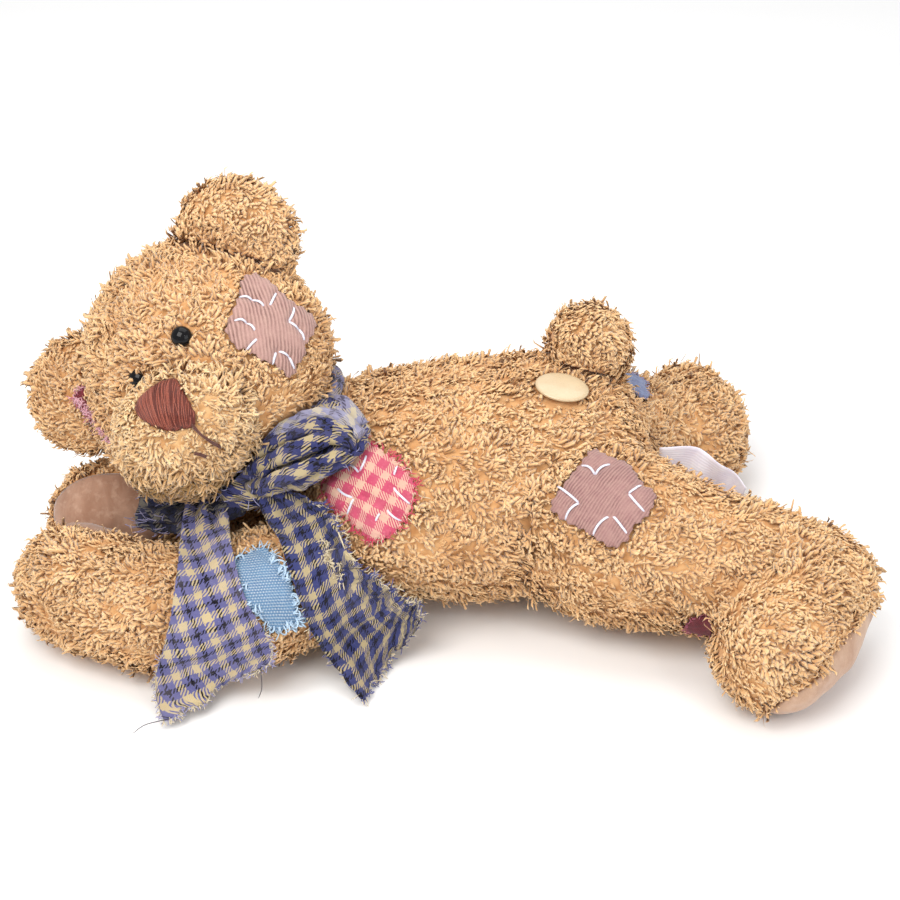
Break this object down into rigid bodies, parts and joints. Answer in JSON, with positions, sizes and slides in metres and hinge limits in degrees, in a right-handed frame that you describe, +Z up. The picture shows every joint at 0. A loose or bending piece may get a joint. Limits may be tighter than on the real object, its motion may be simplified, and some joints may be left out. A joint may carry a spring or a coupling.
{
  "type": "teddy bear",
  "caption": "Threadbare plush bear lying on its belly, head turned to its left and resting on its forelegs, with sewn cloth patches, suede pads and a frayed checked scarf.",
  "frame": {"origin": "middle of the footprint box on the surface the bear lies on", "axes": "+Z up; +X from the head to the feet; -Y the side its face is turned to, its left flank"},
  "size_m": [0.325, 0.2122, 0.1621],
  "materials": {
    "plush": "worn curly plush pile, warm golden beige, matted in small clumps",
    "muzzle_plush": "slightly longer and lighter curly plush pile",
    "suede": "short brushed suede cloth, pinkish tan, rubbed",
    "corduroy": "fine-ribbed corduroy, mauve brown, pinked edge",
    "gingham": "woven check, red, pink and cream, frayed edge",
    "denim": "coarse light-blue twill, frayed white threads",
    "maroon_cloth": "dark red woven cloth, frayed edge",
    "blue_cloth": "faded blue woven cloth",
    "scarf_check": "loosely woven check, blue, navy and cream with thin black lines, frayed edges",
    "label_satin": "white satin ribbon, bare",
    "embroidery": "reddish-brown satin-stitch thread with a slight sheen",
    "eye": "glossy black moulded bead",
    "washer": "off-white moulded plastic",
    "badge_gloss": "cream domed gloss, bare"
  },
  "bodies": {
    "root": {"torso": "plush", "head": "plush", "muzzle": "muzzle_plush", "left_ear": "plush", "right_ear": "plush", "left_arm": "plush", "right_arm": "plush", "left_leg": "plush", "right_leg": "plush", "tail": "plush", "left_eye": "eye", "right_eye": "eye", "left_eye_washer": "washer", "right_eye_washer": "washer", "nose": "embroidery", "mouth": "embroidery", "left_paw_pad": "suede", "right_paw_pad": "suede", "left_sole": "suede", "right_sole": "suede", "head_patch": "corduroy", "hip_patch": "corduroy", "shoulder_patch": "gingham", "arm_patch": "denim", "ear_patch": "maroon_cloth", "right_leg_patch": "blue_cloth", "left_leg_patch": "maroon_cloth", "scarf": "scarf_check", "label": "label_satin", "badge": "badge_gloss"}
  },
  "joints": []
}
